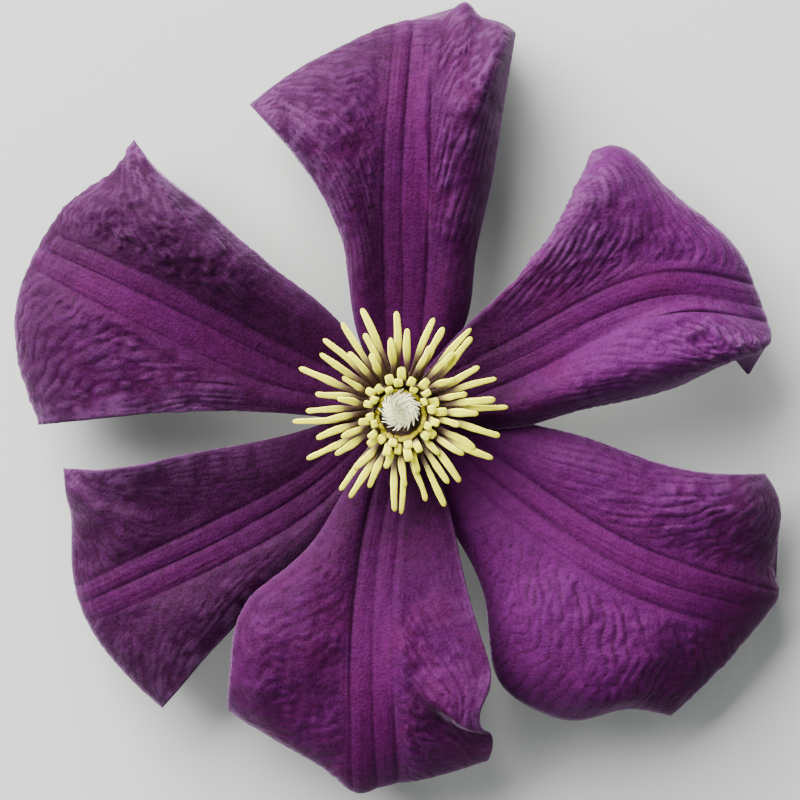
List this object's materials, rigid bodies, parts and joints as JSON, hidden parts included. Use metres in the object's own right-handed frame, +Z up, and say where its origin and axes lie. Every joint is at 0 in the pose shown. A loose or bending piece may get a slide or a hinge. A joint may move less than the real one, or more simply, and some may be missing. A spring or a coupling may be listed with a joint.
{
  "type": "clematis flower",
  "caption": "Clematis bloom with broad, grooved purple tepals whose tips curl under, and a boss of cream stamens round a white tuft of styles, picked and resting face up.",
  "frame": {"origin": "on the surface that the bloom rests on, under the middle of its outline seen from above", "axes": "+Z up, out of the open face; +Y towards the north tepal, +X to its right"},
  "size_m": [0.0866, 0.0894, 0.0176],
  "materials": {
    "tepal": "velvety deep purple with a lilac sheen, fine veins and puckers",
    "stamen": "matt cream anthers on dusky purple filaments",
    "style": "matt white, greenish yellow at the heart",
    "stalk": "finely hairy green, flushed purple"
  },
  "bodies": {
    "root": {"tepal_north": "tepal", "tepal_northwest": "tepal", "tepal_southwest": "tepal", "tepal_south": "tepal", "tepal_southeast": "tepal", "tepal_northeast": "tepal", "stamens": "stamen", "pistil": "style", "pedicel": "stalk"}
  },
  "joints": []
}
